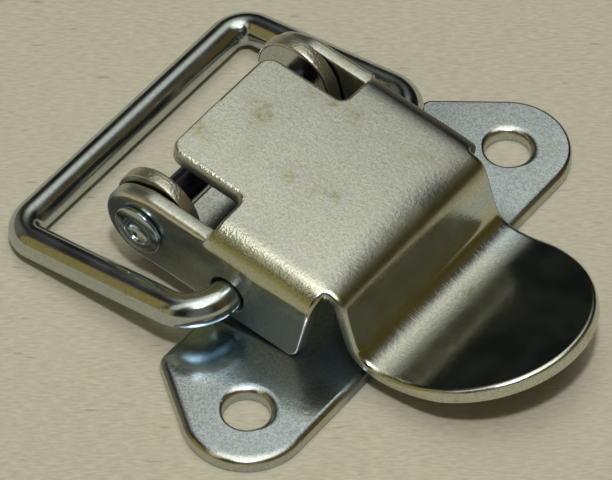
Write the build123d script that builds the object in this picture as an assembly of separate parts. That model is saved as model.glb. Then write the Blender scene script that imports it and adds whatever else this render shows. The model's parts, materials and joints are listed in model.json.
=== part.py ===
from build123d import *
import os
from math import asin, atan2, degrees, hypot, radians, tan

# Over-centre draw latch of folded zinc-plated sheet, sizes in millimetres.
# +X runs from the bail towards the finger tab, +Z up from the mounting face,
# and the origin lies midway between the two mounting holes on that face.

# Stock
sheet = 1.6
wire_diameter = 3.5
pin_diameter = 3.2

# Base plate
hole_spacing = 42.4
hole_diameter = 4.7
hole_rim_break = 0.55
wing_end_radius = 6.45
wing_front = 10.8
wing_corner_half_width = 22.3
wing_corner_radius = 1.8
wing_edge_radius = 0.5
floor_front = 20.6
ear_foot_rear = 12.0
ear_radius = 4.65
ear_rise = 0.45
ear_lag = 0.4
base_bend_radius = 0.8
pin_setback = 19.2
pin_height = 7.6

# Lever, measured from the pin axis with the top plate level
lever_width = 27.2
lever_top = 6.1
lever_drop = 4.4
side_bend_radius = 1.1
wall_rear = 20.75
wall_corner_radius = 2.2
tongue_overhang = 1.5
tongue_width = 15.8
tongue_corner_radius = 1.6
notch_rear = 8.0
notch_corner_radius = 1.0
ear_top_rear = 5.8
wall_edge_break = 0.3
tab_width = 22.9
tab_reach = 42.6
riser_setback = 22.1
riser_drop = 8.1
riser_lean = 22.0
riser_bend_radius = 0.8
valley_radius = 2.5
tab_rise = 17.5

# Bail
bail_hole_setback = 10.95
bail_hole_drop = 1.25
bail_length = 23.7
bail_width = 36.0
bail_corner_radius = 2.6
bail_hook_radius = 4.0
bail_end_inset = 1.2

# Pivot pin heads
head_diameter = 5.5
head_height = 0.5
head_edge = 0.15
crest_diameter = 4.4
dimple_diameter = 3.6
dimple_floor_diameter = 2.2
dimple_depth = 0.9

# Clearances
side_play = 0.2
head_play = 0.1
pin_clearance = 0.05
bail_clearance = 0.3
lever_rest_gap = 0.1
bail_rest_gap = 0.05

wall_inner = lever_width / 2 - sheet
ear_outer = wall_inner - side_play
wire_radius = wire_diameter / 2
beyond = 100.0
match = 1e-6


def disc(x, y, radius):
    """Filled circle at a place in its sketch plane."""
    return Pos(x, y) * Circle(radius)


def hull(*sketches):
    """Smallest convex outline round some sketches and lines."""
    return make_hull([edge for sketch in sketches for edge in sketch.edges()])


def across(sketch, half_length=beyond):
    """Side view (X, Z) sketch carried across the latch in Y."""
    return extrude(Plane.XZ * sketch, half_length, both=True)


def cross_bore(x, z, radius):
    """Round bore through everything along Y."""
    return across(disc(x, z, radius))


def channel_section(half_width, height, bend_radius):
    """U section open at the top, folded from the sheet with round corners."""
    outer = Pos(0, height / 2) * Rectangle(2 * half_width, height)
    outer = fillet(outer.vertices().group_by(Axis.Y)[0], bend_radius + sheet)
    inner = Pos(0, sheet + height / 2) * Rectangle(2 * (half_width - sheet), height)
    inner = fillet(inner.vertices().group_by(Axis.Y)[0], bend_radius)
    return outer - inner


def base_plate():
    """Flat wings with the mounting holes, and a neck folded up into the two pin ears."""
    hole_places = [(0, -hole_spacing / 2), (0, hole_spacing / 2)]
    corner_y = wing_corner_half_width - wing_corner_radius
    corner_x = wing_corner_radius - wing_front
    ends = [disc(x, y, wing_end_radius) for x, y in hole_places]
    corners = [disc(corner_x, side * corner_y, wing_corner_radius) for side in (-1, 1)]
    wings = extrude(hull(*ends, *corners), sheet)
    wings = fillet(wings.edges().group_by(Axis.Z)[-1], wing_edge_radius)

    ear_top = pin_height + ear_rise + ear_radius
    section = channel_section(ear_outer, ear_top, base_bend_radius)
    channel = extrude(Plane.YZ.offset(-beyond) * section, beyond - ear_foot_rear)
    foot = Line((-floor_front, 0), (-ear_foot_rear, 0))
    crown = disc(ear_lag - pin_setback, pin_height + ear_rise, ear_radius)
    ears = channel & across(hull(crown, foot))

    neck_half_width = ear_outer - base_bend_radius - sheet
    neck = extrude(Pos(-floor_front / 2, 0) * Rectangle(floor_front, 2 * neck_half_width), sheet)

    plate = wings + neck + ears
    for x, y in hole_places:
        plate -= Pos(x, y) * Cylinder(hole_diameter / 2, beyond)
    rims = plate.edges().filter_by(GeomType.CIRCLE)
    rims = [e for e in rims if abs(e.radius - hole_diameter / 2) < match and e.center().Z > sheet / 2]
    plate = chamfer(rims, hole_rim_break)
    return plate - cross_bore(-pin_setback, pin_height, pin_diameter / 2)


def top_plan():
    """Plan of the lever's top between its walls: the plate and the tongue that runs out to the front."""
    plate_length = wall_rear - notch_rear
    plate = Pos(notch_rear + plate_length / 2, 0) * Rectangle(plate_length, 2 * wall_inner)
    tongue_length = notch_rear + tongue_overhang
    tongue = Pos(notch_rear - tongue_length / 2, 0) * Rectangle(tongue_length, tongue_width)
    tongue = fillet(tongue.vertices().group_by(Axis.X)[0], tongue_corner_radius)
    plan = tongue + plate
    sides = [v for v in plan.vertices() if abs(abs(v.Y) - tongue_width / 2) < match]
    roots = [v for v in sides if abs(v.X - notch_rear) < match]
    return fillet(roots, notch_corner_radius)


def lever_ear(side):
    """Front end of one side wall, flat and round about the pin."""
    rear = Line((notch_rear + sheet, -lever_drop), (notch_rear + sheet, ear_top_rear))
    ahead = Pos(notch_rear - beyond, 0) * Rectangle(2 * beyond, 2 * beyond)
    outline = hull(disc(0, 0, lever_drop), rear) & ahead
    plane = Plane.XZ.offset(-wall_inner if side > 0 else wall_inner)
    return extrude(plane * outline, -side * sheet)


def tab_strip():
    """Riser and finger tab: the sheet's side view carried across and trimmed to a round tip in plan."""
    top = lever_top - sheet / 2
    valley_x = riser_setback + riser_drop * tan(radians(riser_lean))
    valley_z = top - riser_drop
    end_x = tab_reach + tab_width
    end_z = valley_z + (end_x - valley_x) * tan(radians(tab_rise))
    start = (wall_rear - 2 * sheet, top)
    corners = [(riser_setback, top), (valley_x, valley_z)]
    radii = [riser_bend_radius + sheet / 2, valley_radius + sheet / 2]
    line = FilletPolyline(start, *corners, (end_x, end_z), radius=radii)
    tip_x = tab_reach - tab_width / 2
    shank = Pos(tip_x / 2, 0) * Rectangle(tip_x, tab_width)
    plan = hull(disc(tip_x, 0, tab_width / 2), shank)
    return across(trace(line, sheet)) & extrude(plan, beyond, both=True)


def lever():
    """Top plate with its tongue, the two side walls, and the tab, in the pin's own frame."""
    wall_height = lever_top + lever_drop
    section = Pos(0, lever_top) * Rot(0, 0, 180) * channel_section(
        lever_width / 2, wall_height, side_bend_radius)
    channel = extrude(Plane.YZ.offset(notch_rear) * section, wall_rear - notch_rear)
    heel = disc(wall_rear - wall_corner_radius, wall_corner_radius - lever_drop, wall_corner_radius)
    front_edge = Line((notch_rear, -lever_drop), (notch_rear, lever_top))
    top_edge = Line((notch_rear, lever_top), (wall_rear, lever_top))
    folded = channel & across(hull(heel, front_edge, top_edge))
    folded += extrude(Pos(0, 0, lever_top - sheet) * top_plan(), sheet)
    folded += tab_strip()
    for side in (-1, 1):
        folded += lever_ear(side)
    folded = chamfer(wall_rims(folded), wall_edge_break)
    folded -= cross_bore(0, 0, pin_diameter / 2 + pin_clearance)
    return folded - cross_bore(bail_hole_setback, -bail_hole_drop, wire_radius + bail_clearance)


def wall_rims(folded):
    """Cut edges of the side walls' outer faces: round the front, along below and up the rear."""
    faces = [f for f in folded.faces() if abs(abs(f.center().Y) - lever_width / 2) < match]
    seam = lever_top - sheet - side_bend_radius
    rims = []
    for edge in ShapeList([e for f in faces for e in f.edges()]):
        middle = edge @ 0.5
        on_bend = abs(middle.Z - seam) < match
        on_ear_root = abs(middle.X - notch_rear) < match and middle.Z > 0
        if not (on_bend or on_ear_root):
            rims.append(edge)
    return rims


def lever_tilt():
    """Angle in degrees at which the closed lever's rear wall corner comes down on the base."""
    arm = wall_rear - wall_corner_radius
    hang = lever_drop - wall_corner_radius
    room = pin_height - wall_corner_radius - sheet - lever_rest_gap
    return degrees(asin(room / hypot(arm, hang)) - atan2(hang, arm))


def bail():
    """Wire loop in its own frame: hinge axis along Y at the origin, bar towards -X."""
    half = bail_width / 2
    end = ear_outer - bail_end_inset
    corners = [(0, -half), (-bail_length, -half), (-bail_length, half), (0, half)]
    radii = [bail_hook_radius, bail_corner_radius, bail_corner_radius, bail_hook_radius]
    line = FilletPolyline((0, -end), *corners, (0, end), radius=radii)
    return sweep(Plane(line @ 0, z_dir=line % 0) * Circle(wire_radius), line)


def pivot_pin():
    """Rivet across the ears, its two low heads set with a dimple, about the Y axis at the origin."""
    seat = lever_width / 2 + head_play
    crest = seat + head_height
    bottom = crest - dimple_depth
    outline = Polyline(
        (0, 0), (pin_diameter / 2, 0), (pin_diameter / 2, seat), (head_diameter / 2, seat),
        (head_diameter / 2, seat + head_edge), (crest_diameter / 2, crest), (dimple_diameter / 2, crest),
        (dimple_floor_diameter / 2, bottom), (0, bottom), close=True,
    )
    half = revolve(make_face(outline), Axis.Y)
    return half + mirror(half, Plane.XZ)


os.makedirs("parts", exist_ok=True)
tilt = lever_tilt()
pivot = Pos(-pin_setback, 0, pin_height)
lever_place = pivot * Rot(0, tilt, 0)
bail_axis = (lever_place * Pos(bail_hole_setback, 0, -bail_hole_drop)).position
bail_dip = degrees(asin((bail_axis.Z - wire_radius - bail_rest_gap) / bail_length))

pieces = {
    "base_plate": base_plate(),
    "lever": lever_place * lever(),
    "bail": Pos(*bail_axis) * Rot(0, -bail_dip, 0) * bail(),
    "pivot_pin": pivot * pivot_pin(),
}
for name, piece in pieces.items():
    export_step(piece, f"parts/{name}.step")
print(f"lever tilt {tilt:.3f} deg, bail axis {bail_axis.X:.3f}, {bail_axis.Z:.3f}, dip {bail_dip:.3f} deg")
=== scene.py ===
# %% [markdown]
# # A zinc-plated draw latch
#
# The latch has four pieces: a base plate folded from sheet, a lever folded from sheet, a bail bent from
# wire and a rivet for a pivot pin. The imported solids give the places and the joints. This lesson rebuilds
# each piece as a finer surface, with the rolled edges and soft bends that pressed sheet really has,
# because bright plating shows every curve by what it reflects. Lengths are in millimetres until a mesh is
# made.

import json
from math import asin, atan2, ceil, cos, hypot, pi, radians, sin, tau

import bpy
import numpy as np
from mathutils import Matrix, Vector
from mathutils.geometry import delaunay_2d_cdt


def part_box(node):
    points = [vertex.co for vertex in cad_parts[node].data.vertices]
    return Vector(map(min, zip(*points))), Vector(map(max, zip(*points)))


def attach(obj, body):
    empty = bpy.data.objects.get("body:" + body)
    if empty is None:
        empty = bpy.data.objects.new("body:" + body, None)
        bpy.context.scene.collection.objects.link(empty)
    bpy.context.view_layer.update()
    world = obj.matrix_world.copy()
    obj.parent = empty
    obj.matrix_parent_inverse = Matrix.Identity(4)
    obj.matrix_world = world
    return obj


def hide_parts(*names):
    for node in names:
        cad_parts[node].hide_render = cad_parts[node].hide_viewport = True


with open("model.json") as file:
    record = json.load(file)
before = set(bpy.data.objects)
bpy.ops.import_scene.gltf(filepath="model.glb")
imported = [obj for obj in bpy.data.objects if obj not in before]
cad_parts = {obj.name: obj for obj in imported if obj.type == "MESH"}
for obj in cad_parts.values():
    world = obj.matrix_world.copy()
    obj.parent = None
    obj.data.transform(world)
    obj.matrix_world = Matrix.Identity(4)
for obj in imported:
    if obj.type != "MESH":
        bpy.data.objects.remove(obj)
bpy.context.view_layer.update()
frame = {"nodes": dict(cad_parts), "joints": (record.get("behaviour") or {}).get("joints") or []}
scene = bpy.context.scene
scene.view_settings.view_transform = "Standard"
MM = 0.001
joints = {joint["name"]: np.array(joint["pos_m"]) / MM for joint in frame["joints"]}
print("nodes", sorted(frame["nodes"]))

# %% [markdown]
# ## The camera
#
# The photograph is a close view from the tab's side and above, taken with a long lens, so parallel edges
# stay nearly parallel. The viewing angle, distance and focal length were solved from the two mounting
# holes and the plate's edges. The focal length was found in pixels of a frame 612 wide, and the sensor
# width turns it into millimetres.

# %% Placing the camera
FRAME_WIDTH = 612
FOCAL_PIXELS = 4800.83
SENSOR_WIDTH = 36.0
CLIP_START = 0.01
CAMERA_TARGET = Vector((-6.816, -3.126, 5.0)) * MM
CAMERA_DISTANCE = 471.157 * MM
CAMERA_AZIMUTH = radians(37.909)
CAMERA_ELEVATION = radians(49.887)

camera_data = bpy.data.cameras.new("camera")
camera_data.sensor_fit = "HORIZONTAL"
camera_data.sensor_width = SENSOR_WIDTH
camera_data.lens = SENSOR_WIDTH * FOCAL_PIXELS / FRAME_WIDTH
camera_data.clip_start = CLIP_START
camera = bpy.data.objects.new("camera", camera_data)
scene.collection.objects.link(camera)
scene.camera = camera
toward_camera = Vector((
    sin(CAMERA_AZIMUTH) * cos(CAMERA_ELEVATION),
    -cos(CAMERA_AZIMUTH) * cos(CAMERA_ELEVATION),
    sin(CAMERA_ELEVATION),
))
camera.location = CAMERA_TARGET + toward_camera * CAMERA_DISTANCE
camera.rotation_mode = "QUATERNION"
camera.rotation_quaternion = (-toward_camera).to_track_quat("-Z", "Y")
print(f"lens {camera_data.lens:.1f} mm at {CAMERA_DISTANCE:.3f} m")

# %% [markdown]
# ## Outlines of the flat blanks
#
# Both sheet pieces start as a flat blank, cut with a punch and then folded. Every corner of such a blank
# is an arc, so the simplest description of it is a chain of discs with a belt pulled round them. A convex
# corner has its disc inside the sheet. A hollow corner has its disc outside, and is written with a
# negative radius.

# %% A belt round discs
ARC_STEP = radians(12)
EDGE_SPACING = 0.25
SAME_PLACE = 1e-6


def fill_runs(loop, spacing):
    """Closed loop of points with every run longer than the spacing divided into equal steps."""
    length = np.linalg.norm(np.roll(loop, -1, axis=0) - loop, axis=1)
    loop = loop[length > SAME_PLACE]
    run = np.roll(loop, -1, axis=0) - loop
    count = np.maximum(1, np.ceil(np.linalg.norm(run, axis=1) / spacing)).astype(int)
    start = np.repeat(np.arange(len(loop)), count)
    step = np.arange(count.sum()) - np.repeat(np.cumsum(count) - count, count)
    return loop[start] + run[start] * (step / count[start])[:, None]


def belt(discs, spacing=EDGE_SPACING):
    """Closed outline round a chain of discs (x, y, radius), with the material on the left.

    A straight run touches two neighbours: with d the unit vector between their centres and s the
    difference of their radii over their distance, its outward normal is s times d plus sqrt(1 - s*s)
    times d turned right. On each disc the arc goes between the normals of its two runs, anticlockwise if
    convex and clockwise if hollow.
    """
    discs = np.asarray(discs, float)
    centre, radius = discs[:, :2], discs[:, 2]
    run = np.roll(centre, -1, axis=0) - centre
    length = np.linalg.norm(run, axis=1)
    along = run / length[:, None]
    right = np.stack([along[:, 1], -along[:, 0]], axis=1)
    lean = (radius - np.roll(radius, -1)) / length
    normal = lean[:, None] * along + np.sqrt(1 - lean**2)[:, None] * right
    leave = np.arctan2(normal[:, 1], normal[:, 0])
    arrive = np.roll(leave, 1)
    turn = np.where(radius < 0, -((arrive - leave) % tau), (leave - arrive) % tau)
    arcs = []
    for middle, r, start, sweep in zip(centre, radius, arrive, turn):
        count = max(1, ceil(abs(sweep) / ARC_STEP), ceil(abs(r * sweep) / spacing))
        angle = start + sweep * np.linspace(0, 1, count + 1)
        arcs.append(middle + r * np.stack([np.cos(angle), np.sin(angle)], axis=1))
    return fill_runs(np.concatenate(arcs), spacing)


def hole(x, y, radius, count):
    """Circle walked clockwise, so that the material is on its left too."""
    angle = -tau * np.arange(count) / count
    return np.stack([x + radius * np.cos(angle), y + radius * np.sin(angle)], axis=1)


def both_sides(discs):
    """Discs down one side, mirrored in y, and back up the other side without those on the middle."""
    discs = np.asarray(discs, float)
    return np.concatenate([discs * [1, -1, 1], discs[discs[:, 1] != 0][::-1]])


def loop_normals(loop):
    """Outward unit normals of a closed loop: the chord between the two neighbours, turned right."""
    chord = np.roll(loop, -1, axis=0) - np.roll(loop, 1, axis=0)
    chord /= np.linalg.norm(chord, axis=1)[:, None]
    return np.stack([chord[:, 1], -chord[:, 0]], axis=1)


print("a belt round two discs has", len(belt([(0, 0, 2), (5, 0, 1)])), "points")

# %% [markdown]
# ## Sheet with a thickness and rolled edges
#
# A punch draws the edge of the sheet down on one side, so a cut edge is never sharp. Here a blank becomes
# two skins and a rim: the skins share one triangulation of the flat outline, and the rim is an edge
# profile carried along every loop. A Solidify modifier with a Bevel could do the same, but then the bends
# would not keep their own spacing of points.

# %% The profile of a cut edge
RIM_LEDGE = 0.08
TOP_ARC = np.radians([90, 72, 54, 36, 18, 0])
BOTTOM_ARC = np.radians([0, -30, -60, -90])


def rim_profile(thickness, roll_width, roll_depth, burr_radius, count):
    """Edge profile as (outward offset, height) for each level and loop point.

    From the top: a narrow ledge, a quarter ellipse where the punch drew the edge down, the cut wall, a
    quarter arc and a ledge. The sizes may change along the loop.
    """
    half = thickness / 2
    wide, deep, burr = (np.broadcast_to(size, count) for size in (roll_width, roll_depth, burr_radius))
    offset = np.concatenate([
        [-wide - RIM_LEDGE], wide * (np.cos(TOP_ARC) - 1)[:, None],
        burr * (np.cos(BOTTOM_ARC) - 1)[:, None], [-burr - RIM_LEDGE]])
    height = np.concatenate([
        [np.full(count, half)], half + deep * (np.sin(TOP_ARC) - 1)[:, None],
        burr * (np.sin(BOTTOM_ARC) + 1)[:, None] - half, [np.full(count, -half)]])
    return offset, height


print("a rim has", 2 + len(TOP_ARC) + len(BOTTOM_ARC), "levels")

# %% Points and triangles inside an outline
GRID_CLEARANCE = 0.16
COARSE_STEP, FINE_STEP = 0.5, 0.2


def graded(start, fine_start, fine_end, end):
    """Places along a line: coarse steps, fine steps over a bend, and coarse steps again."""
    return np.concatenate([
        np.arange(start, fine_start, COARSE_STEP),
        np.arange(fine_start, fine_end, FINE_STEP),
        np.arange(fine_end, end, COARSE_STEP)])


def mirrored(rows):
    """The same places on both sides of the middle."""
    return np.concatenate([-rows[::-1], rows])


def inside(points, loops):
    """True where a ray from a point crosses all the loops together an odd number of times."""
    crossings = np.zeros(len(points), int)
    x, y = points[:, 0, None], points[:, 1, None]
    for loop in loops:
        a, b = loop, np.roll(loop, -1, axis=0)
        spans = (a[:, 1] > y) != (b[:, 1] > y)
        rise_y = np.where(b[:, 1] == a[:, 1], 1.0, b[:, 1] - a[:, 1])
        crossings += (spans & (x < a[:, 0] + (y - a[:, 1]) * (b[:, 0] - a[:, 0]) / rise_y)).sum(axis=1)
    return crossings % 2 == 1


def triangulate(loops, columns, rows):
    """Flat triangles between the loops, on the grid points that lie inside them and not too near."""
    grid = np.stack(np.meshgrid(columns, rows, indexing="ij"), axis=-1).reshape(-1, 2)
    grid = grid[inside(grid, loops)]
    edge_points = np.concatenate(loops)
    gap = np.sqrt(((grid[:, None] - edge_points) ** 2).sum(axis=2).min(axis=1))
    grid = grid[gap > GRID_CLEARANCE]
    points = np.concatenate([edge_points, grid])
    starts = np.cumsum([0] + [len(loop) for loop in loops])
    edges = np.concatenate([
        np.stack([start + np.arange(n), start + (np.arange(n) + 1) % n], axis=1)
        for start, n in zip(starts, np.diff(starts))])
    flat = [Vector(point) for point in points.tolist()]
    found = delaunay_2d_cdt(flat, edges.tolist(), [], 0, SAME_PLACE, True)
    origin = np.array([ids[0] if ids else -1 for ids in found[3]])
    triangles = origin[np.array(found[2])]
    triangles = triangles[(triangles >= 0).all(axis=1)]
    triangles = triangles[inside(points[triangles].mean(axis=1), loops)]
    corner = points[triangles]
    e1, e2 = corner[:, 1] - corner[:, 0], corner[:, 2] - corner[:, 0]
    clockwise = e1[:, 0] * e2[:, 1] - e1[:, 1] * e2[:, 0] < 0
    triangles[clockwise] = triangles[clockwise][:, ::-1]
    return grid, triangles


print("grid steps", COARSE_STEP, "and over bends", FINE_STEP, "mm")

# %% Blanks into solid sheet
CUT_FADE = (-0.2, -0.05)


def sheet_solid(loops, rims, thickness, columns, rows):
    """Watertight flat sheet as points (s, t, n), triangles, and how much of each point is cut edge.

    Point (i, j) of a rim lies at loop point j plus offset i times its outward normal, at height i. The
    top skin joins the first row of every rim and the bottom skin the last, over the same grid of inner
    points.
    """
    normals = [loop_normals(loop) for loop in loops]
    profiles = [rim_profile(thickness, *rim, len(loop)) for rim, loop in zip(rims, loops)]
    insets = [
        loop + normal * offset[0][:, None]
        for loop, normal, (offset, _) in zip(loops, normals, profiles)]
    grid, skin = triangulate(insets, columns, rows)
    points, faces, cut = [], [], []
    first, last, total = [], [], 0
    for loop, normal, (offset, height) in zip(loops, normals, profiles):
        count, levels = len(loop), len(offset)
        rim = np.empty((levels, count, 3))
        rim[:, :, :2] = loop + offset[:, :, None] * normal
        rim[:, :, 2] = height
        points.append(rim.reshape(-1, 3))
        cut.append(np.interp(offset, CUT_FADE, (0, 1)).ravel())
        index = total + np.arange(levels * count).reshape(levels, count)
        here, after = index[:-1], np.roll(index, -1, axis=1)[:-1]
        below, below_after = index[1:], np.roll(index, -1, axis=1)[1:]
        faces.append(np.stack([here, below, below_after], axis=-1).reshape(-1, 3))
        faces.append(np.stack([here, below_after, after], axis=-1).reshape(-1, 3))
        first.append(index[0])
        last.append(index[-1])
        total += levels * count
    for side, edge in ((1, first), (-1, last)):
        height = np.full((len(grid), 1), side * thickness / 2)
        points.append(np.concatenate([grid, height], axis=1))
        cut.append(np.zeros(len(grid)))
        order = np.concatenate(edge + [total + np.arange(len(grid))])
        faces.append(order[skin][:, ::side])
        total += len(grid)
    return np.concatenate(points), np.concatenate(faces), np.concatenate(cut)


print("a cut edge fades out", -CUT_FADE[0], "mm inside the outline")

# %% Putting arrays into a mesh
def new_piece(name, points, faces, layout, marks):
    """Mesh object from points in millimetres, its layout as UV and its marks as attributes."""
    mesh = bpy.data.meshes.new(name)
    mesh.from_pydata(points * MM, [], faces)
    mesh.update()
    corner = np.empty(len(mesh.loops), np.int32)
    mesh.loops.foreach_get("vertex_index", corner)
    uv = mesh.uv_layers.new(name="blank")
    uv.uv.foreach_set("vector", (layout[corner] * MM).astype(np.float32).ravel())
    for mark, values in marks.items():
        layer = mesh.attributes.new(mark, "FLOAT", "POINT")
        layer.data.foreach_set("value", np.asarray(values, np.float32))
    mesh.shade_smooth()
    piece = bpy.data.objects.new(name, mesh)
    scene.collection.objects.link(piece)
    low, high = points.min(axis=0), points.max(axis=0)
    print(f"{name}: {len(faces)} triangles, {np.round(high - low, 2)} mm")
    return piece


print("meshes are in metres,", MM, "to a millimetre")

# %% Shapes for changes along a surface
def rise(x, start, run):
    """0 before a start, 1 past the run after it, and 3s^2 - 2s^3 of the share s of the run between."""
    share = np.clip((x - start) / run, 0, 1)
    return share * share * (3 - 2 * share)


def fall(x, end, run):
    """1 until a run before the end, 0 past it: the same step turned round."""
    return rise(-x, -end, run)


def ridge(x, middle, spread):
    """Bell of height 1: e to the minus square of the distance from the middle over the spread."""
    return np.exp(-((x - middle) / spread) ** 2)


print("halfway up a rise", rise(1.0, 0, 2), "and one spread from a ridge", round(ridge(1.0, 0, 1), 3))

# %% [markdown]
# ## The lever
#
# The lever is one piece of sheet. Its flat top runs forward into a tongue between two notches, its two
# sides are folded down into walls that end in round ears on the pin, and behind the walls the sheet drops
# in a riser and turns up again into a round finger tab. Its surface is a fold of the blank: first across,
# where the walls turn down round the side bends, then along, where the middle line follows the riser and
# the tab.

# %% The lever's outline
SHEET = 1.6
HALF = SHEET / 2
LEVER_MID, LEVER_WALL_MID, LEVER_DROP, SIDE_BEND = 5.1, 12.8, 4.4, 1.9
TONGUE_TIP, TONGUE_HALF, TONGUE_CORNER = -1.5, 7.9, 1.6
NOTCH_REAR, NOTCH_CORNER = 8.0, 1.0
EAR_ROOT, EAR_ROOT_RADIUS = 4.85, 0.35
EAR_BROW_U, EAR_BROW = 1.2, 0.45
WALL_REAR, HEEL_RADIUS = 20.75, 2.2
TAB_HALF, TAB_REACH, RELIEF = 11.45, 42.4, 0.4
BAIL_HOLE_X, BAIL_HOLE_DROP, BAIL_HOLE_RADIUS = 10.95, 1.25, 2.05
LEVER_PIN_HOLE = 1.65
BORE_POINTS = 48
pin_x, _, pin_z = joints["lever_hinge"]
bend_start = LEVER_WALL_MID - SIDE_BEND
blank_pin = bend_start + SIDE_BEND * pi / 2 + (LEVER_MID - SIDE_BEND)
wall_foot = blank_pin + LEVER_DROP
notch_middle = (TONGUE_HALF + bend_start) / 2

lever_outline = belt(both_sides([
    (TONGUE_TIP + TONGUE_CORNER, TONGUE_HALF - TONGUE_CORNER, TONGUE_CORNER),
    (NOTCH_REAR - NOTCH_CORNER, TONGUE_HALF + NOTCH_CORNER, -NOTCH_CORNER),
    (NOTCH_REAR - EAR_ROOT_RADIUS, blank_pin - EAR_ROOT - EAR_ROOT_RADIUS, -EAR_ROOT_RADIUS),
    (EAR_BROW_U, blank_pin - EAR_BROW, LEVER_DROP),
    (0, blank_pin, LEVER_DROP),
    (WALL_REAR - HEEL_RADIUS, wall_foot - HEEL_RADIUS, HEEL_RADIUS),
    (WALL_REAR + RELIEF, TAB_HALF + RELIEF, -RELIEF),
    (TAB_REACH - TAB_HALF, 0, TAB_HALF),
]))
lever_holes = [
    hole(x, side * t, radius, BORE_POINTS)
    for side in (-1, 1)
    for x, t, radius in ((0, blank_pin, LEVER_PIN_HOLE),
                         (BAIL_HOLE_X, blank_pin + BAIL_HOLE_DROP, BAIL_HOLE_RADIUS))]
print("lever outline", len(lever_outline), "points,", len(lever_holes), "holes")

# %% The lever's blank
TAB_ROLL, WALL_ROLL, MORE_ON_EAR, MORE_ON_TONGUE = 0.45, 0.38, 0.15, 0.35
DEEPEST_ROLL, LEVER_BURR = 0.55, 0.2
BORE_RIM = (0.2, 0.2, 0.12)
EAR_ROLL_END, NEAR_FACING = (NOTCH_REAR - 0.4, 1.0), (-0.2, 1.0)
LEVER_STOPS_U, LEVER_STOPS_T = (-4.0, 20.5, 29.0, 42.6), (0.25, 11.2, 14.0, 22.0)

edge_u, edge_t = lever_outline[:, 0], np.abs(lever_outline[:, 1])
edge_facing = loop_normals(lever_outline)[:, 1]
on_ear = fall(edge_u, *EAR_ROLL_END) * (edge_t > notch_middle)
on_tongue = (edge_t < TONGUE_HALF + NOTCH_CORNER / 2) * (edge_u < NOTCH_REAR)
near_tongue = fall(edge_facing, *NEAR_FACING) * on_tongue
lever_roll = np.where(edge_u > WALL_REAR, TAB_ROLL, WALL_ROLL)
lever_roll = lever_roll + MORE_ON_EAR * on_ear + MORE_ON_TONGUE * near_tongue
lever_rim = (lever_roll, np.minimum(lever_roll, DEEPEST_ROLL), LEVER_BURR)
lever_flat, lever_faces, lever_cut = sheet_solid(
    [lever_outline] + lever_holes, [lever_rim] + [BORE_RIM] * len(lever_holes), SHEET,
    columns=graded(*LEVER_STOPS_U), rows=mirrored(graded(*LEVER_STOPS_T)))
print("lever blank", len(lever_flat), "points")

# %% The lever's middle line
LINE_START, LINE_END, LINE_POINTS = -6.0, 44.0, 20001
CROWN_START = 17.0
RISER_SLOPE, RISER_RUN = -68.0, 1.74
crown_arcs = [(50.0, -2.3), (24.0, -5.6), (12.0, -10.0), (5.0, -17.5), (0.95, RISER_SLOPE)]
tab_arcs = [(2.95, -14.0), (4.6, 0.0), (6.5, 6.0), (11.0, 18.0), (30.0, 20.5), (400.0, 22.5)]


def line_knots():
    """Places u along the middle line and the sine of the slope there, from arcs (radius, slope at its end).

    On a round arc of radius r the sine of the slope changes by 1/r for each step in u, so straight lines
    between these knots give true arcs. The top plate is level and then crowned, the riser is straight,
    and the tab curls up.
    """
    u, sine = [LINE_START, CROWN_START], [0.0, 0.0]
    for radius, slope in crown_arcs + [(None, RISER_SLOPE)] + tab_arcs:
        step = RISER_RUN if radius is None else radius * abs(sin(radians(slope)) - sine[-1])
        u.append(u[-1] + step)
        sine.append(sin(radians(slope)))
    return u, sine


line_u = np.linspace(LINE_START, LINE_END, LINE_POINTS)
line_sine = np.interp(line_u, *line_knots())
line_rate = line_sine / np.sqrt(1 - line_sine**2)
line_rises = (line_rate[1:] + line_rate[:-1]) / 2 * np.diff(line_u)
line_v = np.concatenate([[0], np.cumsum(line_rises)]) + LEVER_MID
tab_end = np.interp(TAB_REACH, line_u, line_v)
print(f"valley {line_v.min():.2f}, tab end {tab_end:.2f} mm from the pin's level")

# %% Folding the lever
EAR_STEP = 0.3
TAB_SKEW, TAB_ROOT = 0.03, 28.0
CROSS_CROWN, CROWN_END, CROWN_FADE = 300.0, 19.0, 4.0


def fold_lever(points):
    """Blank point (u, t, n) to its place beside the pin.

    Across: |t| runs to the bend, round an arc of angle (|t| - start)/r up to a quarter turn, then down
    the wall, and the top plate is crowned by (start^2 - t^2) over twice its radius. The ears in front of
    the notch stay flat from edge to edge. Along: the result is carried on the middle line, w measured
    along the line's normal. The tab leans a little to one side, by its skew times the distance past its
    root.
    """
    u, t, n = points.T
    reach, side = np.abs(t), np.sign(t)
    angle = np.clip((reach - bend_start) / SIDE_BEND, 0, pi / 2)
    past = np.maximum(reach - bend_start - SIDE_BEND * pi / 2, 0)
    y = np.minimum(reach, bend_start) + (SIDE_BEND + n) * np.sin(angle)
    w = (SIDE_BEND + n) * np.cos(angle) - SIDE_BEND - past
    crown = np.maximum(bend_start**2 - reach**2, 0) / (2 * CROSS_CROWN)
    w += crown * (1 - rise(u, CROWN_END, CROWN_FADE))
    flat = fall(u, NOTCH_REAR, EAR_STEP) * (reach > notch_middle)
    y += flat * (LEVER_WALL_MID + n - y)
    w += flat * (blank_pin - reach - LEVER_MID - w)
    v, slope = np.interp(u, line_u, line_v), np.arcsin(np.interp(u, line_u, line_sine))
    lean = TAB_SKEW * np.maximum(u - TAB_ROOT, 0)
    return np.stack([u - w * np.sin(slope), side * y + lean, v + w * np.cos(slope)], axis=1)


lever_folded = fold_lever(lever_flat)
print("folded lever", np.round(np.ptp(lever_folded, axis=0), 2), "mm")

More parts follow.
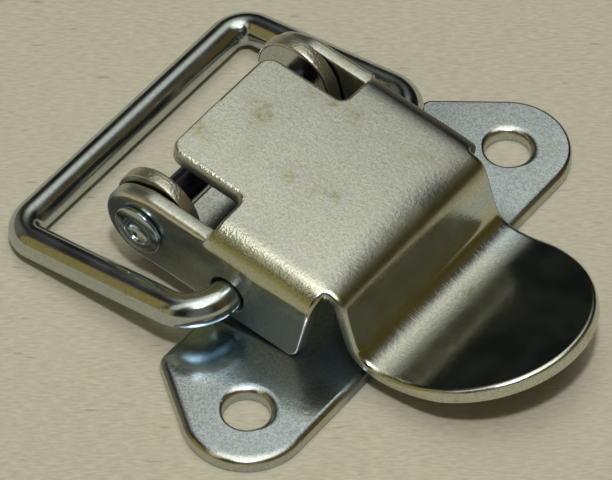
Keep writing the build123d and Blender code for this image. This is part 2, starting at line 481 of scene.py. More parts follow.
# %% [markdown]
# ## Marks of making and wear, and painted light and shade
#
# Plating doesn't look the same all over a folded sheet. Cut edges are dull, the bends are pitted, the valley
# is scratched by thumbs and the tab is polished. Other marks are painted light and shade: gold reflections
# along the side bends and at the riser's crease and foot, a cool reflection down the riser, and painted
# shade on the walls, in the notches, along the far bend and under the tab. They could be painted on an
# image.
# Here each is a number from 0 to 1 at every point, worked out from the point's place on the flat blank and
# kept as an attribute that the finish reads. A place below is a pair: where the change is, and over what
# length.

# %% Where the lever is worn
lever_u, lever_y, lever_n = lever_flat.T
lever_t = np.abs(lever_y)
BEHIND_EAR, EAR_FRONT, EAR_BACK, WALL_TOP = (NOTCH_REAR, 3), (4, 6), (6.5, 2.5), (13.5, 2)
FAR_BEND, FAR_BEND_START, FAR_BEND_END = (12.3, 1.7), (7, 2), (22.5, 2)
UNDER_TAB, NOTCH_START = (24, 4), (0, 1)
PIT_BEND, PIT_MOST, PIT_END = (12.0, 1.3), (9.5, 3.0), (22, 2)
ROLL_FOOT, SKIN_MARGIN = 0.2, 0.01

behind_ear = rise(lever_u, *BEHIND_EAR)
ear_front, ear_back = fall(lever_u, *EAR_FRONT), ridge(lever_u, *EAR_BACK)
on_wall = rise(lever_t, *WALL_TOP)
behind_notch = lever_u > NOTCH_REAR
beside_tongue = lever_t < TONGUE_HALF + NOTCH_CORNER
# Painted shade: a dark band along the far side bend.
far_bend = ridge(lever_y, *FAR_BEND) * rise(lever_u, *FAR_BEND_START) * fall(lever_u, *FAR_BEND_END)
# Painted shade on the underside of the tab.
underside = (lever_n < 0) * rise(lever_u, *UNDER_TAB) * (1 - lever_cut)
in_notch = beside_tongue * rise(lever_u, *NOTCH_START) * (lever_u < NOTCH_REAR + NOTCH_CORNER)
# Painted shade on the notches' cut edges below their roll.
notch_edge = in_notch * lever_cut * (lever_n < ROLL_FOOT)
on_roll = (lever_n > ROLL_FOOT) * (lever_n < HALF - SKIN_MARGIN)
tongue_rim = beside_tongue * on_roll * (lever_y < 0) * (lever_u < NOTCH_REAR)
pit_share = (0.5 + 0.5 * ridge(lever_u, *PIT_MOST)) * fall(lever_u, *PIT_END)
pitted_bend = ridge(lever_t, *PIT_BEND) * pit_share * behind_notch
print("lever pitted at", int((np.maximum(pitted_bend, tongue_rim) > 0.5).sum()), "points")

# %% The lever's marks
SATIN_BEND, SATIN_WALL, SATIN_CROWN, SATIN_TAB = (10.5, 1.0), (14, 1.5), (19, 3), (28, 2.5)
# Painted reflections on the riser: a gold line at its crease, a cool band down it and a gold band at its
# foot; and painted shade along the crease.
CREASE, RISER, FOOT, VALLEY = (22.0, 0.5), (23.5, 0.6), (25.2, 0.7), (27.5, 2.0)
SCUFFED, CREASE_SHADE = (26.6, 1.0), (22.1, 0.4)
# GOLD_BEND is a gold reflection painted along both side bends.
GOLD_BEND, FAR_BLUE = (12.5, 1.0), (12.0, 5.0)

wall_satin = 1 - 0.75 * rise(lever_t, *SATIN_BEND) + 0.4 * behind_ear * rise(lever_t, *SATIN_WALL)
tab_satin = 1 - 0.5 * rise(lever_u, *SATIN_CROWN) - 0.5 * rise(lever_u, *SATIN_TAB)
valley_cool = ridge(lever_u, *VALLEY) * ridge(lever_y, *FAR_BLUE)
# Painted shade on the walls: darker and bluer at the ears' front, lighter at their back, and darker but less
# blue behind the ears.
wall_cool = 0.3 + 0.2 * ear_front - 0.2 * ear_back - 0.18 * behind_ear
wall_shade = 0.3 + 0.35 * ear_front - 0.3 * ear_back + 0.15 * behind_ear
lever_marks = {
    "cut": lever_cut,
    "satin": tab_satin * wall_satin,
    # Cool: painted shade on the walls, a painted cool reflection down the riser and a blue tint at the
    # valley's far end.
    "cool": wall_cool * on_wall + 0.3 * valley_cool + 0.25 * ridge(lever_u, *RISER),
    # Warm: painted gold reflections on the side bends and at the riser's crease and foot.
    "warm": np.max([
        0.6 * ridge(lever_t, *GOLD_BEND) * behind_notch,
        0.9 * ridge(lever_u, *CREASE),
        0.8 * ridge(lever_u, *FOOT)], axis=0),
    "scuff": ridge(lever_u, *SCUFFED),
    # Painted shade: walls, far bend, tab underside, notch edges and the riser's crease.
    "painted_shade": np.max([
        wall_shade * on_wall, 0.93 * far_bend, 0.6 * underside, 0.85 * notch_edge,
        0.5 * ridge(lever_u, *CREASE_SHADE)], axis=0),
    "pitted": np.maximum(pitted_bend, tongue_rim),
}
print("mean marks", {mark: round(float(np.mean(values)), 2) for mark, values in lever_marks.items()})

# %% Closing the lever on the base
REST_GAP = 0.1
arm, hang = WALL_REAR - HEEL_RADIUS, LEVER_DROP - HEEL_RADIUS
lever_tilt = asin((pin_z - HEEL_RADIUS - SHEET - REST_GAP) / hypot(arm, hang)) - atan2(hang, arm)


def tilt(points, angle, x, z):
    """Points turned about Y by an angle, front end up, and moved to an axis at x and z."""
    px, py, pz = points.T
    turned_x = x + px * cos(angle) + pz * sin(angle)
    turned_z = z - px * sin(angle) + pz * cos(angle)
    return np.stack([turned_x, py, turned_z], axis=1)


lever_points = tilt(lever_folded, lever_tilt, pin_x, pin_z)
lever = new_piece("lever_sheet", lever_points, lever_faces, lever_flat[:, :2], lever_marks)
print(f"lever tilt {lever_tilt / radians(1):.3f} degrees")

# %% [markdown]
# ## The base plate
#
# The base is a second blank: two wings with a mounting hole each, and a neck whose sides are folded up
# into ears for the pin. A round slot between ear and wing lets the fold stop short of the wing. The ears
# turn up, so on this sheet the top skin ends on their inner faces.

# %% The base's outline
BASE_EAR_MID, BASE_BEND = 11.0, 1.6
HOLE_HALF_SPACING, HOLE_RADIUS, HOLE_POINTS = 21.2, 2.35, 72
WING_END, WING_FRONT, WING_CORNER, WING_CORNER_T = 6.449, -10.8, 1.8, 20.5
EAR_CROWN_X, EAR_CROWN_Z, EAR_CROWN = -18.8, 8.45, 4.65
FLOOR_FRONT, SLOT_RADIUS = -20.6, 0.6
PIN_RADIUS = 1.6
base_bend_start = BASE_EAR_MID - BASE_BEND
rise_start = base_bend_start + BASE_BEND * pi / 2 - (HALF + BASE_BEND)
slot_x = WING_FRONT - SLOT_RADIUS

base_outline = belt(both_sides([
    (FLOOR_FRONT, base_bend_start, 0),
    (EAR_CROWN_X, rise_start + EAR_CROWN_Z, EAR_CROWN),
    (slot_x, base_bend_start + SLOT_RADIUS, -SLOT_RADIUS),
    (WING_FRONT + WING_CORNER, WING_CORNER_T, WING_CORNER),
    (0, HOLE_HALF_SPACING, WING_END),
]))
base_holes = [
    hole(x, side * t, radius, count)
    for side in (-1, 1)
    for x, t, radius, count in ((0, HOLE_HALF_SPACING, HOLE_RADIUS, HOLE_POINTS),
                                (pin_x, rise_start + pin_z, PIN_RADIUS, BORE_POINTS))]
print("base outline", len(base_outline), "points,", len(base_holes), "holes")

# %% The base's blank
NARROW_ROLL, WING_ROLL, HOLE_ROLL = 0.35, 1.0, 0.9
WING_ROLL_DEPTH, BASE_BURR = 0.5, 0.15
FAR_FACING = (0.7, 1.2)
BASE_SPAN_X, BASE_STOPS_T = (-23.4, 6.4), (0.25, 9.2, 12.2, 27.6)


def base_roll(loop, widest):
    """Roll of an edge: its widest on the wings, narrow where the edge faces +Y and on the ears."""
    broad = fall(loop_normals(loop)[:, 1], *FAR_FACING) * (loop[:, 0] > slot_x)
    return NARROW_ROLL + (widest - NARROW_ROLL) * broad


base_rims = [
    (wide, np.minimum(wide, WING_ROLL_DEPTH), BASE_BURR)
    for wide in (base_roll(base_outline, WING_ROLL), *(base_roll(loop, HOLE_ROLL) for loop in base_holes))]
base_flat, base_faces, base_cut = sheet_solid(
    [base_outline] + base_holes, base_rims, SHEET,
    columns=np.arange(*BASE_SPAN_X, COARSE_STEP), rows=mirrored(graded(*BASE_STOPS_T)))
print("base blank", len(base_flat), "points")

# %% Folding the base
CAMBER, CAMBER_RUN = 200.0, 4.0


def fold_base(points):
    """Blank point (x, t, n) to its place: in front of the slot the sides turn up into the ears.

    The fold is the lever's, turned over. The wings' upper skin falls off a little to both edges, by the
    square of the distance over twice its radius.
    """
    x, t, n = points.T
    reach, side = np.abs(t), np.sign(t)
    angle = np.clip((reach - base_bend_start) / BASE_BEND, 0, pi / 2)
    past = np.maximum(reach - base_bend_start - BASE_BEND * pi / 2, 0)
    y = np.minimum(reach, base_bend_start) + (BASE_BEND - n) * np.sin(angle)
    z = HALF + BASE_BEND - (BASE_BEND - n) * np.cos(angle) + past
    ear = x < slot_x
    camber = x**2 / (2 * CAMBER) * rise(reach, base_bend_start, CAMBER_RUN) * (n > 0)
    return np.stack([x, side * np.where(ear, y, reach), np.where(ear, z, HALF + n - camber)], axis=1)


base_points = fold_base(base_flat)
print("folded base", np.round(np.ptp(base_points, axis=0), 2), "mm")

# %% The base's marks
HOOK_REFLECTION, HOOK_REFLECTION_REACH = (-6.2, -17.0), (4.2, 3.0)
UNDER_LEVER_X, UNDER_LEVER_T = (-1, 3), (15.5, 3)
ROLL_TOP, ROLL_BOTTOM = 0.12, -0.5

base_x, base_t, base_n = base_flat[:, 0], np.abs(base_flat[:, 1]), base_flat[:, 2]
on_wing = base_x > slot_x
# Painted reflection: a blue patch on the near wing below the bail's hook.
hook_reflection_reach = np.linalg.norm((base_flat[:, :2] - HOOK_REFLECTION) / HOOK_REFLECTION_REACH, axis=1)
# Painted shade under the lever: the base is darker and bluer there.
under_lever = rise(base_x, *UNDER_LEVER_X) * fall(base_t, *UNDER_LEVER_T)
rolled = fall(base_n, HALF, ROLL_TOP) * (base_n > ROLL_BOTTOM)
base_marks = {
    "cut": base_cut,
    "satin": np.ones(len(base_flat)),
    # Cool: the plating's blue film on the wings, with a painted blue reflection and painted shade.
    "cool": np.maximum(0.15 + 0.65 * ridge(hook_reflection_reach, 0, 1), 0.45 * under_lever) * on_wing,
    "painted_shade": 0.45 * under_lever,
    "warm": 0.6 * np.where(on_wing, rolled, base_cut),
    "pitted": np.where(base_x < slot_x, base_cut, 0),
}
base = new_piece("base_sheet", base_points, base_faces, base_flat[:, :2], base_marks)

# %% [markdown]
# ## The bail and the pivot pin
#
# The bail is round wire: a bar, two legs and two hooked ends that stand in the walls' holes. A circle is
# carried along its middle line, which is straight runs and arcs in one plane. The pin is a profile turned
# about its axis, and its two heads are set with a dimple that flares the rim out over the lever's ears.

# %% Rings into closed surfaces
def ring_surface(rings, ends):
    """Closed surface through equal rings of points, with one pole point at each end."""
    levels, count, _ = rings.shape
    points = np.concatenate([rings.reshape(-1, 3), ends])
    index = np.arange(levels * count).reshape(levels, count)
    here, after = index[:-1], np.roll(index, -1, axis=1)[:-1]
    ahead, ahead_after = index[1:], np.roll(index, -1, axis=1)[1:]
    sides = np.concatenate([
        np.stack([here, after, ahead_after], axis=-1).reshape(-1, 3),
        np.stack([here, ahead_after, ahead], axis=-1).reshape(-1, 3)])
    pole = levels * count
    ring = np.arange(count)
    turned = np.roll(ring, -1)
    start = np.stack([turned, ring, np.full(count, pole)], axis=1)
    finish = np.stack([index[-1][ring], index[-1][turned], np.full(count, pole + 1)], axis=1)
    return points, np.concatenate([sides, start, finish])


print("two rings of 3 close with", len(ring_surface(np.zeros((2, 3, 3)), np.zeros((2, 3)))[1]), "triangles")

# %% The bail's middle line
WIRE_RADIUS = 1.75
BAIL_LENGTH, BAIL_HALF, BAIL_END = 23.69, 18.0, 10.6
HOOK_RADIUS, BAIL_CORNER = 4.0, 2.6
BAIL_GAP = 0.05
WIRE_SPACING = 0.3
bail_x, _, bail_z = joints["bail_hinge"]
bail_dip = asin((bail_z - WIRE_RADIUS - BAIL_GAP) / BAIL_LENGTH)


def wire_path(corners, radii, spacing):
    """Open line through corners, each rounded by an arc, as places, headings and distance along.

    Runs between the arcs keep the direction of their corners, and on an arc the direction turns evenly.
    Each step moves by its chord, the step times sin(h)/h for half its turn h, along the heading in its
    middle.
    """
    corners = np.asarray(corners, float)
    run = np.diff(corners, axis=0)
    length = np.linalg.norm(run, axis=1)
    heading = np.unwrap(np.arctan2(run[:, 1], run[:, 0]))
    turn = np.diff(heading)
    reach = np.concatenate([[0], radii * np.tan(np.abs(turn) / 2), [0]])
    legs = np.empty(2 * len(run) - 1)
    legs[::2], legs[1::2] = length - reach[:-1] - reach[1:], radii * np.abs(turn)
    knots = np.concatenate([[0], np.cumsum(legs)])
    counts = np.maximum(2, np.ceil(legs / spacing)).astype(int)
    parts = [np.linspace(a, b, n, endpoint=False) for a, b, n in zip(knots, knots[1:], counts)]
    along = np.concatenate(parts + [knots[-1:]])
    angle = np.interp(along, knots, np.repeat(heading, 2))
    half_turn = np.diff(angle) / 2
    chord = np.diff(along) * np.sinc(half_turn / pi)
    middle = angle[:-1] + half_turn
    steps = np.stack([chord * np.cos(middle), chord * np.sin(middle)], axis=1)
    return corners[0] + np.concatenate([[[0, 0]], np.cumsum(steps, axis=0)]), angle, along


bail_places, bail_heading, bail_along = wire_path(
    [(0, -BAIL_END), (0, -BAIL_HALF), (-BAIL_LENGTH, -BAIL_HALF),
     (-BAIL_LENGTH, BAIL_HALF), (0, BAIL_HALF), (0, BAIL_END)],
    np.array([HOOK_RADIUS, BAIL_CORNER, BAIL_CORNER, HOOK_RADIUS]), WIRE_SPACING)
print(f"bail wire {bail_along[-1]:.1f} mm long, dipped {bail_dip / radians(1):.2f} degrees")

# %% Bending the bail
WIRE_POINTS = 48
END_ROUND = 0.4
BAIL_COOL = 0.1
wire_end = np.minimum(bail_along, bail_along[-1] - bail_along)
wire_taper = WIRE_RADIUS - END_ROUND * (1 - np.sqrt(1 - (1 - np.minimum(wire_end / END_ROUND, 1)) ** 2))
wire_angle = tau * np.arange(WIRE_POINTS) / WIRE_POINTS
sideways = np.stack([-np.sin(bail_heading), np.cos(bail_heading), 0 * bail_heading], axis=1)
upward = np.array([0.0, 0.0, 1.0])
bail_middle = np.pad(bail_places, ((0, 0), (0, 1)))
bail_rings = bail_middle[:, None] + wire_taper[:, None, None] * (
    np.cos(wire_angle)[:, None] * sideways[:, None] + np.sin(wire_angle)[:, None] * upward)
bail_points, bail_faces = ring_surface(bail_rings, bail_middle[[0, -1]])
bail_layout = np.concatenate([
    np.stack(np.broadcast_arrays(bail_along[:, None], WIRE_RADIUS * wire_angle), axis=-1).reshape(-1, 2),
    np.stack([bail_along[[0, -1]], np.zeros(2)], axis=1)])
bail = new_piece(
    "bail_wire", tilt(bail_points, -bail_dip, bail_x, bail_z), bail_faces, bail_layout,
    {"cool": np.full(len(bail_points), BAIL_COOL)})

# %% The rivet's profile
PIN_SEAT, HEAD_HEIGHT, HEAD_RADIUS = 13.7, 0.5, 2.75
DISH_RADIUS, DISH_DEPTH = 1.55, 0.9
LIP, HEAD_FALL = 0.14, 0.04
SKIRT_RISE, SKIRT_INSET = 0.08, 0.06
NECK_FILLET, NECK_RUN = 0.1, 0.6
BOWL_ARC, LIP_ARC, RIM_ARC = (-84, -4, 13), (165, 80, 7), (80, 0, 7)


def arc(radius, from_angle, to_angle, count):
    """Points of an arc about the origin, as (along, up), between two angles in degrees."""
    angle = np.radians(np.linspace(from_angle, to_angle, count))
    return np.stack([radius * np.cos(angle), radius * np.sin(angle)], axis=1)


def head_profile():
    """One end of the rivet as (radius, distance): dish, lip, face, rim, skirt and neck."""
    crest = PIN_SEAT + HEAD_HEIGHT
    bowl = (0, crest - LIP) + arc(1.0, *BOWL_ARC) * (DISH_RADIUS, DISH_DEPTH - LIP)
    lip = (DISH_RADIUS + LIP, crest - LIP) + arc(LIP, *LIP_ARC)
    rim = (HEAD_RADIUS - LIP, crest - HEAD_FALL - LIP) + arc(LIP, *RIM_ARC)
    skirt = np.array([(HEAD_RADIUS, PIN_SEAT + SKIRT_RISE), (HEAD_RADIUS - SKIRT_INSET, PIN_SEAT)])
    neck = np.array([
        (PIN_RADIUS + NECK_FILLET, PIN_SEAT),
        (PIN_RADIUS, PIN_SEAT - NECK_FILLET),
        (PIN_RADIUS, PIN_SEAT - NECK_RUN)])
    return np.concatenate([bowl, lip, rim, skirt, neck]).T


head_r, head_y = head_profile()
print("rivet head", len(head_r), "points,", round(2 * head_r.max(), 2), "mm across")

# %% Turning the pin
SHANK_POINTS, PIN_POINTS = 41, 72
SHANK_END = PIN_SEAT - 1
SHANK_SHADE_END, SHANK_SHADE_RUN = PIN_SEAT - 0.5, 1.0
PIN_COOL = 0.2
shank_y = np.linspace(-SHANK_END, SHANK_END, SHANK_POINTS)
pin_r = np.concatenate([head_r, np.full(len(shank_y), PIN_RADIUS), head_r[::-1]])
pin_y = np.concatenate([-head_y, shank_y, head_y[::-1]])
pin_angle = tau * np.arange(PIN_POINTS) / PIN_POINTS
pin_rings = np.stack([
    pin_x + pin_r[:, None] * np.cos(pin_angle),
    np.broadcast_to(pin_y[:, None], (len(pin_y), len(pin_angle))),
    pin_z - pin_r[:, None] * np.sin(pin_angle)], axis=-1)
pin_poles = np.array([[pin_x, pin_y[0], pin_z], [pin_x, pin_y[-1], pin_z]])
pin_points, pin_faces = ring_surface(pin_rings, pin_poles)
# Painted shade: the shank between the heads is darkened.
pin_marks = {
    "painted_shade": fall(np.abs(pin_points[:, 1]), SHANK_SHADE_END, SHANK_SHADE_RUN),
    "cool": np.full(len(pin_points), PIN_COOL),
}
pin = new_piece("pivot_rivet", pin_points, pin_faces, pin_points[:, [0, 1]], pin_marks)

# %% [markdown]
# ## Who carries what
#
# Each surface stands for the solid of the same piece and rides on that solid's body. So the joints carry
# it with them.

# %% Riding on the bodies
for piece, node, body in ((base, "base_plate", "base"), (lever, "lever", "lever"),
                          (bail, "bail", "bail"), (pin, "pivot_pin", "base")):
    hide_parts(node)
    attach(piece, body)
    low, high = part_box(node)
    print(node, "solid", [round((b - a) / MM, 2) for a, b in zip(low, high)])

# %% [markdown]
# ## Bright zinc
#
# The plating is a bright, slightly warm grey metal. Up close it is not a perfect mirror: the sheet under
# it has a fine speckled grain from rolling, the top carries faint olive smudges from handling, and the
# cut edges are duller. All of it is small changes of colour, roughness and bump. The even ones are noises
# read at the piece's own place in the object, and the marks from the cells above say where the others
# lie.

# %% Helpers for node trees
class Tree:
    """Short ways to add and join nodes in one node tree."""

    def __init__(self, tree):
        self.tree = tree
        tree.nodes.clear()

    def add(self, kind, settings=None, **inputs):
        """New node with its settings, whose inputs take a value or another node's output socket.

        An input goes by its name, with underscores for spaces, or by its number, as in i0.
        """
        node = self.tree.nodes.new(kind)
        for key, value in (settings or {}).items():
            setattr(node, key, value)
        for key, value in inputs.items():
            number = key[1:]
            socket = node.inputs[int(number) if number.isdigit() else key.replace("_", " ")]
            if isinstance(value, bpy.types.NodeSocket):
                self.tree.links.new(value, socket)
            else:
                socket.default_value = value
        return node

    def math(self, operation, a, b=0.0, clamp=False):
        """One operation on two values."""
        settings = {"operation": operation, "use_clamp": clamp}
        return self.add("ShaderNodeMath", settings, i0=a, i1=b).outputs[0]

    def plus(self, value, part, share):
        """A value with a share of another added."""
        return self.math("ADD", value, self.math("MULTIPLY", part, share))

    def ramp(self, value, low, high, from_value=0.0, to_value=1.0):
        """Smooth step of a value from one number to another."""
        node = self.add("ShaderNodeMapRange", {"interpolation_type": "SMOOTHSTEP"},
                        Value=value, From_Min=low, From_Max=high, To_Min=from_value, To_Max=to_value)
        return node.outputs[0]

    def mix(self, factor, a, b):
        """Colour a where the factor is 0 and b where it is 1."""
        node = self.add("ShaderNodeMix", {"data_type": "RGBA"}, i0=factor, i6=a, i7=b)
        return node.outputs[2]

    def noise(self, place, scale, detail, rough):
        """Cloudy noise about 0.5, with this many features to a metre."""
        node = self.add("ShaderNodeTexNoise", None,
                        Vector=place, Scale=scale, Detail=detail, Roughness=rough)
        return node.outputs[0]

    def bump(self, height, depth, normal=None, strength=1.0):
        """Normal bent by a height of this depth in millimetres, over another normal if there is one."""
        under = {} if normal is None else {"Normal": normal}
        node = self.add("ShaderNodeBump", None,
                        Strength=strength, Distance=depth * MM, Height=height, **under)
        return node.outputs[0]


print("features to a metre: 1000 is one to a millimetre")

# %% The zinc's colour
MARKS = ("cut", "satin", "cool", "warm", "scuff", "painted_shade", "pitted")
# A noise is its features to a metre, its detail and its roughness. A band is where a step starts and ends.
FINE_GRAIN, SPECKS, SMUDGES = (4800.0, 3.0, 0.6), (2200.0, 2.0, 0.5), (230.0, 3.0, 0.55)
FILM, SCRATCHES = (95.0, 2.0, 0.5), (8200.0, 1.0, 0.5)
GRAIN_BAND, SPECK_BAND, SMUDGE_BAND = (0.35, 0.65), (0.60, 0.72), (0.57, 0.74)
SCRATCH_BAND, SCRATCH_STRETCH = (0.58, 0.70), (0.05, 1.0, 1.0)
FILM_BAND, FILM_SHARES = (0.25, 0.6), (0.5, 1.0)
BROKEN_BAND, BROKEN_SHARES = (0.40, 0.62), (0.35, 1.0)
SCRATCH_SHARE, SPECK_SHARE, SPECK_SHADE = 0.6, 0.35, 0.6
# The cool tint is the plating's blue film, and also painted shade and reflection where the marks put it.
COOL_TINT = (0.42, 0.87, 1.4)
BARE = (0.85, 0.84, 0.76, 1)
# The dark grey of painted shade.
SHADE_COLOUR = (0.05, 0.055, 0.07, 1)


def zinc_scratches(t, scuff):
    """Fine strokes where the sheet is scuffed: noise on the flat layout, drawn out along it."""
    blank = t.add("ShaderNodeUVMap", {"uv_map": "blank"}).outputs[0]
    strokes = t.add("ShaderNodeMapping", None, Vector=blank, Scale=SCRATCH_STRETCH).outputs[0]
    return t.math("MULTIPLY", t.ramp(t.noise(strokes, *SCRATCHES), *SCRATCH_BAND), scuff)


def zinc_colour(t, noises, mark, scratch, light, dark, stain, stain_share):
    """Two greys by the grain, then over them the cool tint of the film and of painted shade and reflection,
    stains and painted gold reflections, specks, scratches and dark painted shade.
    """
    colour = t.mix(t.ramp(noises["fine"], *GRAIN_BAND), (*dark, 1), (*light, 1))
    tint = t.math("MULTIPLY", t.ramp(noises["film"], *FILM_BAND, *FILM_SHARES), mark["cool"])
    colour = t.mix(tint, colour, (*(c * share for c, share in zip(light, COOL_TINT)), 1))
    smudge = t.math("MULTIPLY", t.ramp(noises["smudge"], *SMUDGE_BAND, 0.0, stain_share),
                    t.ramp(noises["speck"], *BROKEN_BAND, *BROKEN_SHARES))
    colour = t.mix(t.math("ADD", smudge, mark["warm"], clamp=True), colour, (*stain, 1))
    specks = t.math("MULTIPLY", t.ramp(noises["speck"], *SPECK_BAND), SPECK_SHARE)
    colour = t.mix(specks, colour, (*(SPECK_SHADE * c for c in dark), 1))
    colour = t.mix(t.math("MULTIPLY", scratch, SCRATCH_SHARE), colour, BARE)
    # Painted shade: the colour is mixed towards the dark grey where its mark lies.
    return t.mix(mark["painted_shade"], colour, SHADE_COLOUR)


print(len(MARKS), "marks:", ", ".join(MARKS))

# %% The zinc's gloss and relief
UNEVEN_BAND, UNEVEN_ROUGH = (0.35, 0.65), (-0.03, 0.03)
SCRATCH_ROUGH, CUT_ROUGH, SHADE_ROUGH = 0.10, 0.16, 0.20
SWELLS, SWELL_DEPTH = (130.0, 1.0, 0.4), 0.002
CRATERS, CRATER_DEPTH = (3800.0, 2.0, 0.6), 0.065
SPECK_WEIGHT, GRAIN_ON_GLOSS = 1.5, 0.25


def zinc_roughness(t, noises, mark, scratch, gloss, satin):
    """Roughness from gloss to satin, a little uneven, with more on scratches, cut edges and painted shade.
    """
    rough = t.math("ADD", t.math("MULTIPLY", mark["satin"], satin - gloss), gloss)
    rough = t.math("ADD", rough, t.ramp(noises["smudge"], *UNEVEN_BAND, *UNEVEN_ROUGH))
    rough = t.plus(rough, scratch, SCRATCH_ROUGH)
    rough = t.plus(rough, mark["cut"], CUT_ROUGH)
    return t.plus(rough, mark["painted_shade"], SHADE_ROUGH)


def zinc_relief(t, place, noises, mark, grain):
    """Slow swells, craters where the sheet is pitted, and the grain, which is weaker on glossy places."""
    bump = t.bump(t.noise(place, *SWELLS), SWELL_DEPTH)
    craters = t.math("MULTIPLY", t.noise(place, *CRATERS), mark["pitted"])
    bump = t.bump(craters, CRATER_DEPTH, bump)
    matt = t.math("MAXIMUM", mark["satin"], mark["cut"])
    share = t.math("ADD", t.math("MULTIPLY", matt, 1 - GRAIN_ON_GLOSS), GRAIN_ON_GLOSS)
    height = t.math("MULTIPLY", t.plus(noises["fine"], noises["speck"], SPECK_WEIGHT), share)
    return t.bump(height, grain, bump)


print("craters", CRATER_DEPTH, "mm deep, swells", SWELL_DEPTH, "mm")


# %% The whole finish
def zinc(name, light, dark, stain, stain_share, gloss, satin, grain):
    """Plated steel from two greys, a stain and its share, two roughnesses and the grain's depth."""
    material = bpy.data.materials.new(name)
    material.use_nodes = True
    t = Tree(material.node_tree)
    place = t.add("ShaderNodeTexCoord").outputs["Object"]
    mark = {key: t.add("ShaderNodeAttribute", {"attribute_name": key}).outputs["Fac"] for key in MARKS}
    noises = {
        "fine": t.noise(place, *FINE_GRAIN),
        "speck": t.noise(place, *SPECKS),
        "smudge": t.noise(place, *SMUDGES),
        "film": t.noise(place, *FILM),
    }
    scratch = zinc_scratches(t, mark["scuff"])
    colour = zinc_colour(t, noises, mark, scratch, light, dark, stain, stain_share)
    rough = zinc_roughness(t, noises, mark, scratch, gloss, satin)
    bump = zinc_relief(t, place, noises, mark, grain)
    surface = t.add("ShaderNodeBsdfPrincipled", None,
                    Base_Color=colour, Metallic=1.0, Roughness=rough, Normal=bump)
    t.add("ShaderNodeOutputMaterial", None, Surface=surface.outputs[0])
    return material


# %% Plating the pieces
finishes = {
    lever: zinc("zinc_lever", light=(0.68, 0.685, 0.60), dark=(0.525, 0.53, 0.455), stain=(0.39, 0.38, 0.17),
                stain_share=0.85, gloss=0.15, satin=0.30, grain=0.011),
    base: zinc("zinc_base", light=(0.63, 0.65, 0.62), dark=(0.40, 0.415, 0.40), stain=(0.55, 0.50, 0.33),
               stain_share=0.4, gloss=0.13, satin=0.19, grain=0.006),
    bail: zinc("zinc_bail", light=(0.56, 0.58, 0.54), dark=(0.47, 0.48, 0.44), stain=(0.42, 0.38, 0.24),
               stain_share=0.3, gloss=0.19, satin=0.22, grain=0.002),
    pin: zinc("zinc_pin", light=(0.56, 0.58, 0.58), dark=(0.47, 0.49, 0.49), stain=(0.40, 0.36, 0.26),
              stain_share=0.3, gloss=0.14, satin=0.24, grain=0.002),
}
for piece, finish in finishes.items():
    piece.data.materials.append(finish)
    print(piece.name, finish.name, len(finish.node_tree.nodes), "nodes")

# %% [markdown]
# ## The table and the light
#
# The latch lies on a plain pale table of buff card. Bright metal is seen almost only by what it reflects,
# so the room is drawn by direction: soft pools of light on a dark ground, the brightest of them overhead,
# with a pale band at the horizon. One small lamp, nearly overhead and a little to the camera's side,
# gives the shadow its direction.

# %% The table
FLOOR_HALF = 1.5
FIBRES, FLECKS, CLOUDS = (4200.0, 3.0, 0.6), (1500.0, 1.0, 0.5), (60.0, 2.0, 0.5)
FIBRE_BAND, FLECK_BAND, CLOUD_BAND = (0.3, 0.7), (0.68, 0.80), (0.4, 0.7)
FIBRE_STRETCH = (5.0, 1.0, 1.0)
FIBRE_DEPTH, FIBRE_STRENGTH = 0.05, 0.35
CLOUD_SHARE, FLECK_SHARE = 0.2, 0.6
CARD_ROUGH = 0.85
CARD_DARK, CARD_LIGHT = (0.54, 0.50, 0.38, 1), (0.66, 0.615, 0.475, 1)
CARD_CLOUD, CARD_FLECK = (0.65, 0.60, 0.46, 1), (0.36, 0.26, 0.16, 1)


def buff_card():
    """Card with fibres that lie one way, faint clouds and a few brown flecks."""
    material = bpy.data.materials.new("buff_card")
    material.use_nodes = True
    t = Tree(material.node_tree)
    place = t.add("ShaderNodeTexCoord").outputs["Object"]
    lie = t.add("ShaderNodeMapping", {"vector_type": "TEXTURE"}, Vector=place,
                Rotation=(0, 0, CAMERA_AZIMUTH), Scale=FIBRE_STRETCH).outputs[0]
    fibre = t.noise(lie, *FIBRES)
    cloud = t.ramp(t.noise(place, *CLOUDS), *CLOUD_BAND)
    fleck = t.ramp(t.noise(lie, *FLECKS), *FLECK_BAND)
    tone = t.mix(t.ramp(fibre, *FIBRE_BAND), CARD_DARK, CARD_LIGHT)
    tone = t.mix(t.math("MULTIPLY", cloud, CLOUD_SHARE), tone, CARD_CLOUD)
    tone = t.mix(t.math("MULTIPLY", fleck, FLECK_SHARE), tone, CARD_FLECK)
    bump = t.bump(fibre, FIBRE_DEPTH, strength=FIBRE_STRENGTH)
    surface = t.add("ShaderNodeBsdfPrincipled", None, Base_Color=tone, Roughness=CARD_ROUGH, Normal=bump)
    t.add("ShaderNodeOutputMaterial", None, Surface=surface.outputs[0])
    return material


floor_mesh = bpy.data.meshes.new("table")
floor_corners = FLOOR_HALF * np.array([(-1, -1, 0), (1, -1, 0), (1, 1, 0), (-1, 1, 0)])
floor_mesh.from_pydata(floor_corners, [], [(0, 1, 2, 3)])
floor = bpy.data.objects.new("table", floor_mesh)
scene.collection.objects.link(floor)
floor_mesh.materials.append(buff_card())
print("table", 2 * FLOOR_HALF, "m square")

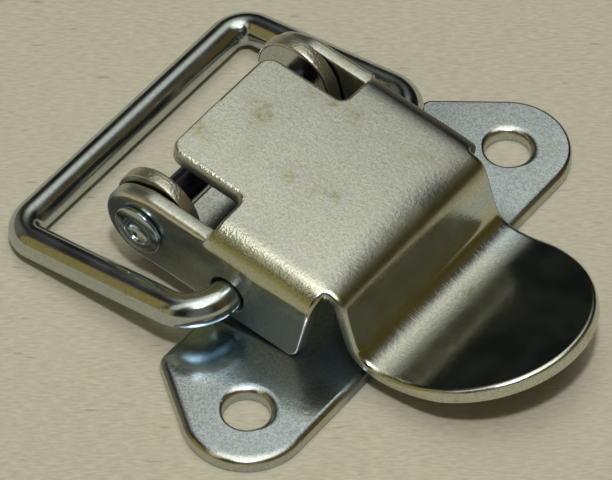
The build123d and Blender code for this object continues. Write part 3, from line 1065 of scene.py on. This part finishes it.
# %% The room
# Each pool has its middle and half widths as (east, north) of a unit direction, the softness of its edge,
# and its colour. A later pool lies over an earlier one.
GLOOM = (0.008, 0.010, 0.010)
HORIZON, HORIZON_TOP, HORIZON_FULL = (0.50, 0.48, 0.40), 0.14, 0.07
pools = {
    "brown wall": ((0.80, 0.45), (0.45, 0.60), 0.35, (0.10, 0.075, 0.027)),
    "pale wall behind": ((0.66, -0.62), (0.32, 0.34), 0.50, (0.18, 0.18, 0.16)),
    "pale wall in front": ((-0.93, -0.05), (0.20, 0.40), 0.50, (0.16, 0.155, 0.125)),
    "gold wall": ((-0.62, -0.56), (0.18, 0.32), 0.35, (0.33, 0.26, 0.09)),
    "gold skirting": ((-0.33, -0.95), (0.25, 0.18), 0.35, (0.38, 0.33, 0.15)),
    "lit ceiling in front": ((-0.22, -0.36), (0.13, 0.40), 0.35, (0.74, 0.74, 0.64)),
    "lit ceiling at the left": ((-0.26, 0.37), (0.27, 0.30), 0.60, (0.84, 0.85, 0.77)),
    "ceiling light": ((0.05, 0.04), (0.38, 0.34), 0.35, (1.85, 1.87, 1.77)),
}


def pool(t, way, centre, half, soft):
    """1 inside an ellipse of directions seen from above and 0 outside, with a soft edge.

    The distance is the root of the sum of the squares of (direction - centre) / half, east and north.
    """
    steps = [t.math("DIVIDE", t.math("SUBTRACT", w, c), h) for w, c, h in zip(way, centre, half)]
    squares = [t.math("MULTIPLY", step, step) for step in steps]
    return t.ramp(t.math("SQRT", t.math("ADD", *squares)), 1 + soft, 1 - soft)


def light_room():
    """World whose colour depends on direction alone: gloom, then the pools, then the horizon."""
    world = bpy.data.worlds.new("room")
    world.use_nodes = True
    t = Tree(world.node_tree)
    direction = t.add("ShaderNodeTexCoord").outputs["Generated"]
    east, north, up = t.add("ShaderNodeSeparateXYZ", None, Vector=direction).outputs
    room = (*GLOOM, 1)
    for centre, half, soft, colour in pools.values():
        room = t.mix(pool(t, (east, north), centre, half, soft), room, (*colour, 1))
    room = t.mix(t.ramp(up, HORIZON_TOP, HORIZON_FULL), room, (*HORIZON, 1))
    background = t.add("ShaderNodeBackground", None, Color=room, Strength=1.0)
    t.add("ShaderNodeOutputWorld", None, Surface=background.outputs[0])
    return world


scene.world = light_room()
print(len(pools), "pools of light in the room")

# %% The lamp
LAMP_FROM = Vector((0.21, -0.27, 0.94)).normalized()
LAMP_DISTANCE, LAMP_SIZE, LAMP_WATTS = 0.8, 0.07, 2.3
LAMP_COLOUR = (0.97, 0.99, 1.0)
lamp_data = bpy.data.lights.new("soft_lamp", "AREA")
lamp_data.shape = "DISK"
lamp_data.size = LAMP_SIZE
lamp_data.energy = LAMP_WATTS
lamp_data.color = LAMP_COLOUR
lamp = bpy.data.objects.new("soft_lamp", lamp_data)
lamp.location = LAMP_FROM * LAMP_DISTANCE
lamp.rotation_mode = "QUATERNION"
lamp.rotation_quaternion = (-LAMP_FROM).to_track_quat("-Z", "Y")
scene.collection.objects.link(lamp)
print("lamp", LAMP_WATTS, "W at", [round(c, 2) for c in lamp.location])
